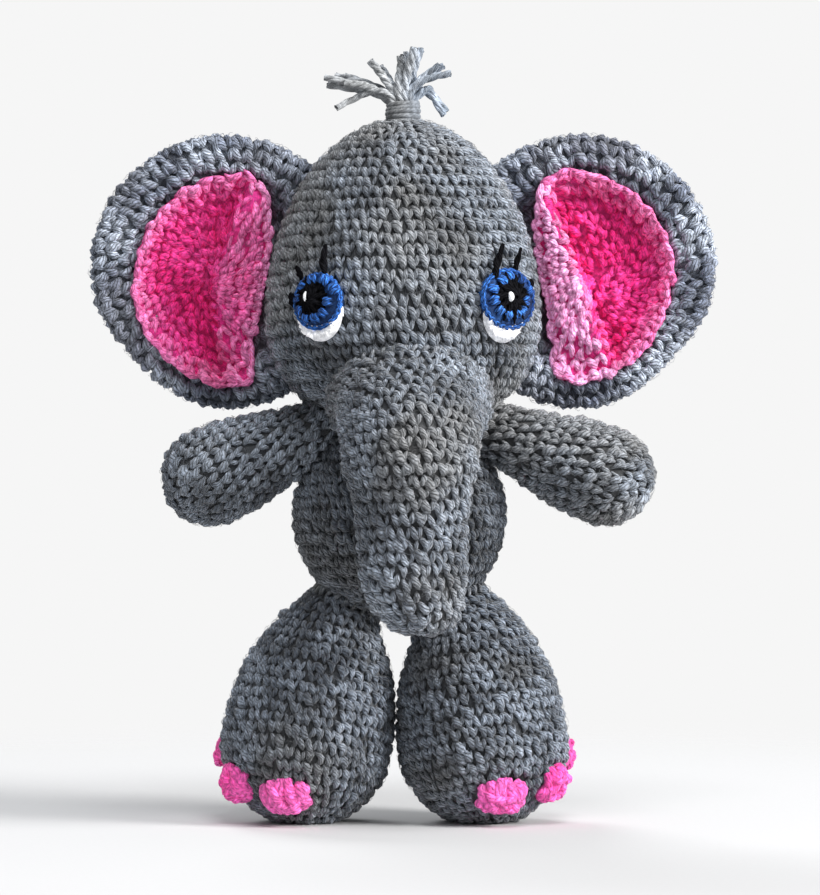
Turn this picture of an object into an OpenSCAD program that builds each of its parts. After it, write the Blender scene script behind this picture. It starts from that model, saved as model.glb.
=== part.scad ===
// Crocheted elephant, standing on flat soles. It faces -Y, up is +Z, and its own left is +X.
// Each skin is a crocheted cup, open at its sewn end, with a separate stuffing inside.

/* [Head] */
// Radius of the head's widest round
head_r = 56; // [54:0.5:58]
// Height of that round above the floor
head_z = 201.5; // [200.5:0.5:203]
// Height of the crown above the widest round
crown_h = 82; // [76:1:86]
// Depth of the chin below the widest round
chin_h = 46; // [45:0.5:47]

/* [Body] */
// Radius of the belly's widest round
belly_r = 43.5; // [42:0.5:44]
// Height of that round above the floor
belly_z = 124.5; // [123.5:0.5:125]
// Height of the shoulders above the widest round
shoulder_h = 40; // [38:0.5:40.5]
// Depth of the seat below the widest round
seat_h = 44; // [43:0.5:45]

/* [Fabric] */
// Thickness of the crocheted fabric
skin_t = 3; // [2.5:0.25:3.5]
// Room between fabric and stuffing
stuffing_gap = 0.3; // [0.2:0.05:0.5]
// Clear room left at each sewn joint
joint_gap = 0.6; // [0.5:0.1:0.8]
// Thickness of the sewing stitches in a joint
stitch_t = 1.4; // [1:0.1:1.5]

/* [Neck] */
// Height of the neck's pivot
neck_z = 159.5; // [159:0.25:160]
// Radius of the gathered neck
neck_r = 12; // [11:0.5:13]
// Height left over and under the neck's pivot, so that the head can nod
neck_room = 1.8; // [1.6:0.1:2]

/* [Trunk] */
// Sideways place of the trunk
trunk_x = 2.5; // [0:0.5:3]
// Distance of the trunk's centre line in front of the head's
trunk_y = 67; // [67:0.5:69]
// Height of the trunk's root pivot
trunk_z = 163; // [162:0.5:164]
// Radius of the trunk at its root
trunk_root_r = 28.5; // [27.5:0.5:29]
// Radius of the trunk at its middle
trunk_mid_r = 21.5; // [21:0.5:22]
// Radius of the trunk's tip
trunk_tip_r = 20.5; // [18:0.5:21]
// Height of the trunk's middle pivot
trunk_mid_z = 124; // [122:1:126]
// Gap between the trunk's two halves
trunk_gap = 2.6; // [2.6:0.1:3.2]
// Height of the trunk's lowest point
trunk_end_z = 77; // [75:0.5:79]

/* [Ears] */
// Radius of an ear's disc
ear_r = 54.5; // [52:0.5:55]
// Distance of an ear's centre from the middle
ear_x = 72; // [71:0.5:73]
// Height of an ear's centre
ear_z = 221.5; // [220:0.5:223]
// Depth of the ear's front face behind the head's middle
ear_y = 6; // [5.5:0.5:8]
// Thickness of the ear's grey back
ear_t = 6; // [5:0.5:7]
// Radius of the pink lining
lining_r = 42; // [39:0.5:43]
// Distance of the lining's centre from the middle
lining_x = 69; // [68:0.5:70]
// Thickness of the pink lining
lining_t = 3; // [2:0.25:3]
// Room between an ear and the side of the head
ear_gap = 3; // [3:0.1:3.6]

/* [Arms] */
// Distance of the shoulder pivot from the middle
shoulder_r = 36; // [36:0.25:37]
// Height of the shoulder pivot
shoulder_z = 157.7; // [157.5:0.1:158]
// Angle of the shoulder towards the front
shoulder_turn = 14; // [12:1:16]
// Radius of the arm where it is sewn on
shoulder_ball_r = 5.2; // [5:0.1:5.3]
// Distance of a hand's centre from the middle
hand_out = 78; // [76:0.5:79]
// Distance of a hand's centre in front of the middle
hand_front = 18; // [17:0.5:19]
// Height of a hand's centre
hand_z = 139.5; // [138.5:0.5:140.5]
// Sideways shift of both hands
hands_x = 2; // [0:0.5:3]
// Radius of the hand
hand_r = 20; // [18:0.5:20.5]

/* [Legs] */
// Sideways place of the line midway between the legs
legs_x = -3.5; // [-4:0.5:0]
// Distance from that line of the spot where a leg is sewn on
hip_x = 19; // [18:0.5:20]
// Radius of the leg where it is sewn on
hip_ball_r = 11; // [10:0.5:11]
// Distance of a foot's centre from that line
foot_out = 35.5; // [35.5:0.5:37]
// Distance of a foot's centre in front of the middle
foot_front = 7; // [6:0.5:8]
// Height of a foot's centre, a little less than its radius, so that the sole is flat
foot_z = 32; // [31.5:0.25:32.5]
// Radius of the foot
foot_r = 34.5; // [33:0.5:34.5]
// Radius of a toenail
nail_r = 9.5; // [8:0.5:10]
// How far a toenail's centre lies under the foot's skin
nail_sink = 4; // [3:0.5:5]

/* [Eyes] */
// Distance of an eye's centre from the line midway between the eyes
eye_x = 37; // [35:0.5:38]
// Sideways place of that line
eyes_x = 4; // [0:0.5:4]
// Height of an eye's centre
eye_z = 209; // [207:0.5:212]
// Radius of the blue ring
iris_r = 11; // [10:0.5:12]
// Radius of the black pupil
pupil_r = 7.2; // [6:0.1:8]
// Radius of the white patch under the eye
white_r = 10.5; // [9:0.5:12]

/* [Hair] */
// Radius of the yarn wrapped round the tuft
wrap_r = 7.2; // [6:0.1:8]
// Height of that wrapping
wrap_h = 7.5; // [6:0.5:9]
// Radius of one strand
strand_r = 1.5; // [1.2:0.1:1.8]

/* [Hidden] */
$fn = 64;
LEFT = 1;
RIGHT = -1;
yarn_grey = "#9b9d9c";
yarn_dark = "#85898d";
yarn_pink = "#c9566b";
yarn_blue = "#5f93bd";
sewing_grey = "#76797c";
// Angle between the points of a curved outline
step = 6;
// A hair's breadth that keeps touching pieces apart
touch = 0.05;
// Half the side of the block that cuts the soles and toenails flat
floor_block = 200;
// Steps in a turn of the small pieces on the face
fine = 200;
// Radius of the opening that each skin is stuffed through
fill_hole_r = 4;
arm_hole_r = 1.3;
neck_hole_r = 9;
// More room round the neck and inside the edges of the stuffing
stuffing_neck_room = 1;
stuffing_chin_turn = 6;
stuffing_shoulder_turn = 8;

shoulder_at = [shoulder_r * cos(shoulder_turn), -shoulder_r * sin(shoulder_turn), shoulder_z];
// A pivot hangs under the seat, clear of it by the ball, the stitches and the gap
hip_drop = hip_ball_r + stitch_t + joint_gap;
function hip_touch(side) = [hip_x + side * legs_x, 0,
    belly_z - seat_h * sqrt(1 - pow((hip_x + side * legs_x) / belly_r, 2))];
function hip_lean(side) =
    atan2(hip_touch(side)[0] * pow(seat_h / belly_r, 2), belly_z - hip_touch(side)[2]);
function hip_at(side) = hip_touch(side) + hip_drop * [sin(hip_lean(side)), 0, -cos(hip_lean(side))];
function foot_centre(side) = [foot_out + side * legs_x, -foot_front, foot_z];
function hand_centre(side) = [hand_out + side * hands_x, -hand_front, hand_z];
function eye_at(side) = eye_x + side * eyes_x;
trunk_at = [trunk_x, -trunk_y, trunk_z];
// The origin lies under the middle of the whole toy, and the modules below are drawn round the head's middle
middle_y = (trunk_y + trunk_root_r - head_r) / 2;

// Points of an elliptical quarter, from one angle to another
function ellipse_points(r, h, z, from, to) =
    [for (i = [0:ceil(abs(to - from) / step)])
        let (a = from + (to - from) * i / ceil(abs(to - from) / step)) [r * cos(a), z + h * sin(a)]];

// Outline of two round ends joined by straight sides; the first end is at height 0
function taper_points(r_start, r_end, length) =
    let (lean = asin((r_start - r_end) / length))
    concat(ellipse_points(r_start, r_start, 0, -90, lean), ellipse_points(r_end, r_end, length, lean, 90));

module taper(r_start, r_end, length) {
    rotate_extrude() polygon(taper_points(r_start, r_end, length));
}

// Draws its children with their Z axis along the line from one point to another
module aim(from, to) {
    d = to - from;
    translate(from) rotate([0, acos(d[2] / norm(d)), atan2(d[1], d[0])]) children();
}

module on_side(side) {
    mirror([side == RIGHT ? 1 : 0, 0, 0]) children();
}

// The height at which the relief cone meets an egg's outline, as an angle on that outline
chin_angle = -57;
shoulder_angle = 50;

module head_solid(inset = 0) {
    rim = [head_r * cos(chin_angle), head_z + chin_h * sin(chin_angle)];
    from = inset > 0 ? chin_angle + stuffing_chin_turn : chin_angle;
    low = inset > 0 ? [] : [[0, neck_z + neck_room], [neck_r, neck_z + neck_room]];
    rotate_extrude() polygon(concat(low,
        inset > 0 ? [[0, rim[1] + inset]] : [],
        ellipse_points(head_r - inset, chin_h - inset, head_z, from, 0),
        ellipse_points(head_r - inset, crown_h - inset, head_z, step, 90)));
}

module body_solid(inset = 0) {
    top = inset > 0
        ? [[0, belly_z + (shoulder_h - inset) * sin(shoulder_angle - stuffing_shoulder_turn)]]
        : [[neck_r, neck_z - neck_room], [0, neck_z - neck_room]];
    rotate_extrude() polygon(concat(
        ellipse_points(belly_r - inset, seat_h - inset, belly_z, -90, 0),
        ellipse_points(belly_r - inset, shoulder_h - inset, belly_z, step,
            inset > 0 ? shoulder_angle - stuffing_shoulder_turn : shoulder_angle),
        top));
}

// Room that the trunk's round root takes out of the head
module trunk_pocket(extra) {
    translate(trunk_at) sphere(trunk_root_r + extra);
}

module neck_ball(extra) {
    translate([0, 0, neck_z]) sphere(neck_r + extra);
}

module body_skin() {
    color(yarn_grey) difference() {
        body_solid();
        body_solid(skin_t);
        neck_ball(joint_gap);
        translate([0, 0, belly_z]) cylinder(r = neck_hole_r, h = shoulder_h);
    }
}

module body_stuffing() {
    color("white") difference() {
        body_solid(skin_t + stuffing_gap);
        neck_ball(joint_gap + stuffing_neck_room);
    }
}

module head_skin() {
    color(yarn_grey) difference() {
        head_solid();
        difference() {
            head_solid(skin_t);
            trunk_pocket(joint_gap + skin_t);
        }
        trunk_pocket(joint_gap);
        neck_ball(joint_gap);
        translate([0, 0, neck_z]) cylinder(r = neck_hole_r, h = chin_h / 2);
    }
}

module head_stuffing() {
    color("white") difference() {
        head_solid(skin_t + stuffing_gap);
        trunk_pocket(joint_gap + skin_t + stuffing_gap);
        neck_ball(joint_gap + stuffing_neck_room);
    }
}

module neck_stitching() {
    color(sewing_grey) neck_ball(0);
}

trunk_half_gap = trunk_gap / 2;
trunk_upper_low = trunk_mid_z + trunk_half_gap + trunk_mid_r;
trunk_tip_high = trunk_mid_z - trunk_half_gap - trunk_mid_r;
trunk_tip_low = trunk_end_z + trunk_tip_r;

module trunk_upper_solid(inset = 0) {
    translate(trunk_at) rotate([180, 0, 0])
        taper(trunk_root_r - inset, trunk_mid_r - inset, trunk_z - trunk_upper_low);
}

module trunk_tip_solid(inset = 0) {
    translate([trunk_x, -trunk_y, trunk_tip_high]) rotate([180, 0, 0])
        taper(trunk_mid_r - inset, trunk_tip_r - inset, trunk_tip_high - trunk_tip_low);
}

module trunk_upper_skin() {
    color(yarn_grey) difference() {
        trunk_upper_solid();
        trunk_upper_solid(skin_t);
        translate(trunk_at) rotate([-90, 0, 0]) cylinder(r = fill_hole_r, h = trunk_root_r + 1);
    }
}

module trunk_upper_stuffing() {
    color("white") trunk_upper_solid(skin_t + stuffing_gap);
}

module trunk_tip_skin() {
    color(yarn_grey) difference() {
        trunk_tip_solid();
        trunk_tip_solid(skin_t);
        translate([trunk_x, -trunk_y, trunk_tip_high]) cylinder(r = fill_hole_r, h = trunk_mid_r + 1);
    }
}

module trunk_tip_stuffing() {
    color("white") trunk_tip_solid(skin_t + stuffing_gap);
}

// Half a ring of stitches over the top of the trunk's root, where it meets the face
trunk_ring_r = 24;
trunk_ring_thick = 1.2;
trunk_ring_tilt = 25;
trunk_ring_from = 195;
trunk_ring_arc = 150;
module trunk_stitching() {
    reach = trunk_root_r + joint_gap + trunk_ring_thick;
    color(sewing_grey) difference() {
        translate(trunk_at) rotate([trunk_ring_tilt - 90, 0, 0])
            translate([0, 0, sqrt(pow(reach, 2) - pow(trunk_ring_r, 2))])
            rotate_extrude(angle = trunk_ring_arc, start = trunk_ring_from)
            translate([trunk_ring_r, 0]) circle(trunk_ring_thick);
        head_solid();
    }
}

// A disc that stands upright, facing forwards, with a rounded rim
module upright_disc(r, t) {
    rotate([-90, 0, 0]) rotate_extrude()
        polygon(concat([[0, 0]], [for (a = [-90:15:90]) [r - t / 2 + t / 2 * cos(a), t / 2 + t / 2 * sin(a)]],
            [[0, t]]));
}

// The head's outline grown by the room that an ear needs
module head_room(room) {
    rotate_extrude() polygon(concat(
        ellipse_points(head_r + room, chin_h + room, head_z, -90, 0),
        ellipse_points(head_r + room, crown_h + room, head_z, step, 90)));
}

module ear_back(side) {
    color(yarn_grey) on_side(side) difference() {
        translate([ear_x, ear_y, ear_z]) upright_disc(ear_r, ear_t);
        head_room(ear_gap);
        translate([0, 0, ear_z]) cube([ear_x, 8 * ear_t, 4 * ear_r], center = true);
    }
}

module ear_lining(side) {
    color(yarn_pink) on_side(side) difference() {
        translate([lining_x, ear_y - lining_t - touch, ear_z]) upright_disc(lining_r, lining_t);
        head_room(ear_gap);
        translate([0, 0, ear_z]) cube([ear_x, 8 * ear_t, 4 * ear_r], center = true);
    }
}

// Stitches along the side of the head, in the gap that the ear's edge follows
ear_seam_half = 34;
ear_seam_t = 0.6;
ear_seam_up = 12;
module ear_stitching(side) {
    color(sewing_grey) on_side(side) intersection() {
        difference() {
            head_room(ear_seam_t);
            head_room(touch);
        }
        translate([head_r, ear_y + ear_t / 2, head_z + ear_seam_up])
            cube([head_r, ear_t * 2 / 3, 2 * ear_seam_half], center = true);
    }
}

// Draws its children on the face, with their Z axis pointing straight out of it
module on_face(side, x, z) {
    ring = head_r * sqrt(1 - pow((z - head_z) / crown_h, 2));
    y = -sqrt(pow(ring, 2) - pow(x, 2));
    slope = [x / pow(head_r, 2), y / pow(head_r, 2), (z - head_z) / pow(crown_h, 2)];
    on_side(side) aim([x, y, z], [x, y, z] + slope * 1000) children();
}

eye_layer = 1.6;
eye_bury = 4.5;
// A round patch on the face, cut to the head's curve from behind
module face_disc(side, x, z, r, height) {
    difference() {
        on_face(side, x, z) translate([0, 0, -eye_bury]) cylinder(r = r, h = height + eye_bury);
        head_room(touch, $fn = fine);
    }
}

// The whole depth of an eye, to cut a hole for the piece inside it
module eye_hole(side, r) {
    on_face(side, eye_at(side), eye_z) translate([0, 0, -2 * eye_bury]) cylinder(r = r, h = 4 * eye_bury);
}

// The white patch lies a little inwards of the ring, and lower
white_in = 2;
white_drop = 5.5;
module eye_white(side) {
    color("white") difference() {
        face_disc(side, eye_at(side) - white_in, eye_z - white_drop, white_r, eye_layer);
        eye_hole(side, iris_r + touch);
    }
}

module eye_iris(side) {
    color(yarn_blue) difference() {
        face_disc(side, eye_at(side), eye_z, iris_r, 2 * eye_layer);
        eye_hole(side, pupil_r + touch);
    }
}

module eye_pupil(side) {
    color("black") face_disc(side, eye_at(side), eye_z, pupil_r, 2 * eye_layer);
}

glint_r = 1.6;
glint_t = 1;
module eye_glint(side) {
    color("white") on_face(side, eye_at(side), eye_z) translate([-glint_r, glint_r, 2 * eye_layer + touch])
        cylinder(r = glint_r, h = glint_t);
}

// Three short strands of black yarn over each eye: sideways place, height over the eye's centre and length
lash_spots = [[-1, 13, 6], [3.9, 12, 5], [7.6, 8.5, 4]];
lash_r = 1.2;
module eye_lashes(side) {
    color("black") difference() {
        union() {
            for (s = lash_spots)
                on_face(side, eye_at(side) + s[0], eye_z + s[1] + s[2] / 2)
                    rotate([0, 90, 0]) cylinder(r = lash_r, h = s[2], center = true);
        }
        head_room(touch, $fn = fine);
    }
}

yarn_hair = "#b9bfc6";
crown_z = head_z + crown_h;
wrap_sunk = 1.5;
module hair_wrap() {
    color(yarn_hair) difference() {
        translate([0, 0, crown_z - wrap_sunk]) cylinder(r = wrap_r, h = wrap_h);
        translate([0, 0, crown_z - 2 * wrap_sunk])
            cylinder(r = wrap_r - 2 * strand_r, h = wrap_h + 2 * wrap_sunk);
        head_room(touch);
    }
}

// Where each strand ends, measured from the middle of the wrapping's top
strand_tips = [
    [-29, -2, 10], [-25, 4, 4], [-20, -6, 15], [-12, 3, 22], [-5, -3, 23], [2, 5, 24],
    [7, -4, 22], [14, 2, 19], [17, -5, 16], [19, 4, 8], [18, -3, 3], [-14, -5, 9]
];
// Each strand leaves the wrapping near its middle and bends once on its way to its tip
root_share = [0.09, 0.3, 0];
bend_share = [0.45, 0.7, 0.75];
bend_lift = 4;
tip_share = 0.8;
module strand_end(at, r) {
    translate(at) sphere(r, $fn = 12);
}

module hair_strands() {
    color(yarn_hair) translate([0, 0, crown_z + wrap_h - wrap_sunk]) for (tip = strand_tips) {
        root = [tip[0] * root_share[0], tip[1] * root_share[1], touch + strand_r];
        bend = [tip[0] * bend_share[0], tip[1] * bend_share[1], tip[2] * bend_share[2] + bend_lift];
        hull() {
            strand_end(root, strand_r);
            strand_end(bend, strand_r);
        }
        hull() {
            strand_end(bend, strand_r);
            strand_end(tip, strand_r * tip_share);
        }
    }
}

module arm_solid(side, inset = 0) {
    reach = norm(hand_centre(side) - shoulder_at);
    aim(hand_centre(side), shoulder_at) taper(hand_r - inset, shoulder_ball_r - inset, reach);
}

module arm_skin(side) {
    color(yarn_grey) on_side(side) difference() {
        arm_solid(side);
        arm_solid(side, skin_t);
        aim(hand_centre(side), shoulder_at) cylinder(r = arm_hole_r, h = 4 * hand_r);
    }
}

module arm_stuffing(side) {
    color("white") on_side(side) arm_solid(side, skin_t + stuffing_gap);
}

// A small pad of stitches that lies on the body under a ball, along the line from the body's middle
pad_reach = 5.6;
module stitch_pad(at, lean, ball_r, pad_r) {
    difference() {
        aim(at, at + lean) translate([0, 0, ball_r + joint_gap]) cylinder(r = pad_r, h = pad_reach);
        rotate_extrude() polygon(concat(
            ellipse_points(belly_r + touch, seat_h + touch, belly_z, -90, 0),
            ellipse_points(belly_r + touch, shoulder_h + touch, belly_z, step, 90)));
    }
}

// A shoulder's pad lies square on the body, which is wider than it is tall above the belly
shoulder_pad_slope = 1.15;
shoulder_pad_r = 2.4;
hip_pad_r = 6;
module shoulder_stitching(side) {
    inward = [-shoulder_at[0], -shoulder_at[1], shoulder_pad_slope * (belly_z - shoulder_z)];
    color(sewing_grey) on_side(side) stitch_pad(shoulder_at, inward, shoulder_ball_r, shoulder_pad_r);
}

module hip_stitching(side) {
    color(sewing_grey) on_side(side)
        stitch_pad(hip_at(side), [-sin(hip_lean(side)), 0, cos(hip_lean(side))], hip_ball_r, hip_pad_r);
}

// Everything under a height
module below(z) {
    translate([0, 0, z - floor_block]) cube(2 * floor_block, center = true);
}

module leg_solid(side, inset = 0) {
    difference() {
        aim(foot_centre(side), hip_at(side))
            taper(foot_r - inset, hip_ball_r - inset, norm(hip_at(side) - foot_centre(side)));
        below(inset);
    }
}

module leg_skin(side) {
    color(yarn_dark) on_side(side) difference() {
        leg_solid(side);
        leg_solid(side, skin_t);
        aim(foot_centre(side), hip_at(side)) cylinder(r = fill_hole_r, h = 3 * foot_r);
    }
}

module leg_stuffing(side) {
    color("white") on_side(side) leg_solid(side, skin_t + stuffing_gap);
}

// Each toenail's turn outwards from the front, and its fall below the foot's middle
front_nail = [15, 36];
middle_nail = [65, 27];
side_nail = [112, 8];
// Height of the toenails' flat underside
nail_floor = 1.8;
module toenail(side, spot) {
    reach = foot_r - nail_sink;
    outward = [sin(spot[0]) * cos(spot[1]), -cos(spot[0]) * cos(spot[1]), -sin(spot[1])];
    color("#d8186a") on_side(side) difference() {
        translate(foot_centre(side) + outward * reach) sphere(nail_r);
        translate(foot_centre(side)) sphere(foot_r + touch);
        below(nail_floor);
    }
}

module in_frame() {
    translate([0, middle_y, 0]) children();
}

in_frame() body_skin();
in_frame() body_stuffing();
in_frame() head_skin();
in_frame() head_stuffing();
in_frame() neck_stitching();
in_frame() trunk_upper_skin();
in_frame() trunk_upper_stuffing();
in_frame() trunk_tip_skin();
in_frame() trunk_tip_stuffing();
in_frame() trunk_stitching();
in_frame() ear_back(LEFT);  // ear_left_back
in_frame() ear_back(RIGHT);  // ear_right_back
in_frame() ear_lining(LEFT);  // ear_left_lining
in_frame() ear_lining(RIGHT);  // ear_right_lining
in_frame() ear_stitching(LEFT);  // ear_left_stitching
in_frame() ear_stitching(RIGHT);  // ear_right_stitching
in_frame() eye_white(LEFT);  // eye_left_white
in_frame() eye_white(RIGHT);  // eye_right_white
in_frame() eye_iris(LEFT);  // eye_left_iris
in_frame() eye_iris(RIGHT);  // eye_right_iris
in_frame() eye_pupil(LEFT);  // eye_left_pupil
in_frame() eye_pupil(RIGHT);  // eye_right_pupil
in_frame() eye_glint(LEFT);  // eye_left_glint
in_frame() eye_glint(RIGHT);  // eye_right_glint
in_frame() eye_lashes(LEFT);  // eye_left_lashes
in_frame() eye_lashes(RIGHT);  // eye_right_lashes
in_frame() hair_wrap();
in_frame() hair_strands();
in_frame() arm_skin(LEFT);  // arm_left_skin
in_frame() arm_skin(RIGHT);  // arm_right_skin
in_frame() arm_stuffing(LEFT);  // arm_left_stuffing
in_frame() arm_stuffing(RIGHT);  // arm_right_stuffing
in_frame() shoulder_stitching(LEFT);  // shoulder_left_stitching
in_frame() shoulder_stitching(RIGHT);  // shoulder_right_stitching
in_frame() leg_skin(LEFT);  // leg_left_skin
in_frame() leg_skin(RIGHT);  // leg_right_skin
in_frame() leg_stuffing(LEFT);  // leg_left_stuffing
in_frame() leg_stuffing(RIGHT);  // leg_right_stuffing
in_frame() hip_stitching(LEFT);  // hip_left_stitching
in_frame() hip_stitching(RIGHT);  // hip_right_stitching
in_frame() toenail(LEFT, front_nail);  // toenail_left_front
in_frame() toenail(LEFT, middle_nail);  // toenail_left_middle
in_frame() toenail(LEFT, side_nail);  // toenail_left_side
in_frame() toenail(RIGHT, front_nail);  // toenail_right_front
in_frame() toenail(RIGHT, middle_nail);  // toenail_right_middle
in_frame() toenail(RIGHT, side_nail);  // toenail_right_side
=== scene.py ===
"""The crocheted elephant's looks: every stitch is a pair of yarn strands laid over a skin."""

import math

import bpy
import numpy as np
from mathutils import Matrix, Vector


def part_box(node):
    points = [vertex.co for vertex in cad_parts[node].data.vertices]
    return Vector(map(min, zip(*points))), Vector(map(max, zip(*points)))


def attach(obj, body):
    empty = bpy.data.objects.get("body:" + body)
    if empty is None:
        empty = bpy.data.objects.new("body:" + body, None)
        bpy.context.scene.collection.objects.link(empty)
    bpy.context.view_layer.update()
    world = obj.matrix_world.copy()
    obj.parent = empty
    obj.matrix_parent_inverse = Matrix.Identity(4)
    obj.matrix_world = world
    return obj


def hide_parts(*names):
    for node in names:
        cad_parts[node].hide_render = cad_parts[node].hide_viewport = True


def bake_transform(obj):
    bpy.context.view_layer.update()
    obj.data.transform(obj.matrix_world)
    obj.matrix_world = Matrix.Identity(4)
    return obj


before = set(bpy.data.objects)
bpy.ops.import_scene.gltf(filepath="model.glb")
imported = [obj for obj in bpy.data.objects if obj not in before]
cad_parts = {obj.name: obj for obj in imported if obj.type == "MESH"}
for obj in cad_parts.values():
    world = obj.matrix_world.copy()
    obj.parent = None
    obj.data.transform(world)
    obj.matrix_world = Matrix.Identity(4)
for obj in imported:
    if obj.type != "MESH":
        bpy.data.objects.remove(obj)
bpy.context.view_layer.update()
MM = 0.001
LEFT, RIGHT = 1, -1
SIDES = (("left", LEFT), ("right", RIGHT))
rng = np.random.default_rng(7)
# Everything below is drawn round the head's upright axis, which the CAD frame has at this Y, in millimetres
MIDDLE_Y = sum(corner.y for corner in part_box("neck_stitching")) / 2 / MM


# ---------------------------------------------------------------- camera, world, lights, floor
def aim(obj, target):
    """Turns a camera or a lamp towards a point."""
    obj.rotation_euler = (Vector(target) - obj.location).to_track_quat("-Z", "Y").to_euler()


scene = bpy.context.scene
scene.view_settings.view_transform = "Standard"
VIEW_CENTRE = (0.0028, MIDDLE_Y * MM, 0.1508)
# The camera sees this height at this distance, on a plane a little in front of the head's axis
CAMERA_AWAY = 1.6
FRAME_HEIGHT = 0.358
FACE_FRONT = 0.02
SENSOR_MM = 36
cam_data = bpy.data.cameras.new("camera")
cam_data.sensor_fit = "VERTICAL"
cam_data.sensor_height = SENSOR_MM
cam_data.lens = SENSOR_MM * CAMERA_AWAY / FRAME_HEIGHT
cam = bpy.data.objects.new("camera", cam_data)
scene.collection.objects.link(cam)
cam.location = (VIEW_CENTRE[0], VIEW_CENTRE[1] - CAMERA_AWAY - FACE_FRONT, VIEW_CENTRE[2])
aim(cam, VIEW_CENTRE)
scene.camera = cam

# The camera sees a pale backdrop, and the toy is lit by a softer sky of the studio's own
PALE = (0.922, 0.922, 0.922, 1)
SKY = (0.95, 0.97, 1.0, 1)
AMBIENT = 0.37
world = bpy.data.worlds.new("studio")
scene.world = world
world.use_nodes = True
world_tree = world.node_tree
background = world_tree.nodes["Background"]
background.inputs["Color"].default_value = PALE
background.inputs["Strength"].default_value = 1.0
soft = world_tree.nodes.new("ShaderNodeBackground")
soft.inputs["Color"].default_value = SKY
soft.inputs["Strength"].default_value = AMBIENT
chooser = world_tree.nodes.new("ShaderNodeMixShader")
light_path = world_tree.nodes.new("ShaderNodeLightPath")
world_tree.links.new(light_path.outputs["Is Camera Ray"], chooser.inputs[0])
world_tree.links.new(soft.outputs[0], chooser.inputs[1])
world_tree.links.new(background.outputs[0], chooser.inputs[2])
world_tree.links.new(chooser.outputs[0], world_tree.nodes["World Output"].inputs["Surface"])


def area_light(name, at, size, watts, tint):
    """A round lamp that faces the toy's middle."""
    data = bpy.data.lights.new(name, "AREA")
    data.shape = "DISK"
    data.size = size
    data.energy = watts
    data.color = tint
    light = bpy.data.objects.new(name, data)
    light.location = at
    aim(light, (0, 0, 0.16))
    scene.collection.objects.link(light)


area_light("key", (3.1, -1.55, 1.7), 1.5, 195, (1.0, 0.99, 0.98))
area_light("top", (0.4, -1.6, 3.0), 1.6, 55, (0.97, 0.98, 1.0))
area_light("back", (-1.2, 2.6, 2.2), 1.6, 60, (0.97, 0.98, 1.0))


# ---------------------------------------------------------------- materials
class Nodes:
    """A short way to write a material's nodes."""

    def __init__(self, name):
        self.material = bpy.data.materials.new(name)
        self.material.use_nodes = True
        self.tree = self.material.node_tree
        self.shader = self.tree.nodes["Principled BSDF"]

    def node(self, kind, inputs=(), **settings):
        made = self.tree.nodes.new(kind)
        for key, value in settings.items():
            setattr(made, key, value)
        for key, value in dict(inputs).items():
            self.put(made.inputs[key], value)
        return made

    def put(self, socket, value):
        if isinstance(value, bpy.types.NodeSocket):
            self.tree.links.new(value, socket)
        else:
            socket.default_value = value

    def math(self, operation, a, b=0.0):
        return self.node("ShaderNodeMath", {0: a, 1: b}, operation=operation).outputs[0]

    def noise(self, vector, scale, detail=2.0):
        inputs = {"Vector": vector, "Scale": scale, "Detail": detail}
        return self.node("ShaderNodeTexNoise", inputs).outputs["Fac"]

    def ramp(self, value, low, high):
        inputs = {"Value": value, "From Min": low, "From Max": high}
        return self.node("ShaderNodeMapRange", inputs, interpolation_type="SMOOTHSTEP").outputs[0]

    def mix(self, share, a, b, blend="MIX"):
        made = self.tree.nodes.new("ShaderNodeMix")
        made.data_type = "RGBA"
        made.blend_type = blend
        for socket, value in ((made.inputs[0], share), (made.inputs[6], a), (made.inputs[7], b)):
            self.put(socket, value)
        return made.outputs[2]


def rgb(red, green, blue):
    return (red, green, blue, 1)


# How many plies and fibre lines a strand has round it, and how often they go round it in each centimetre
PLIES, PLY_TWIST = 3.0, 4.2
FIBRES, FIBRE_TWIST = 6.0, 5.0


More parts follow.
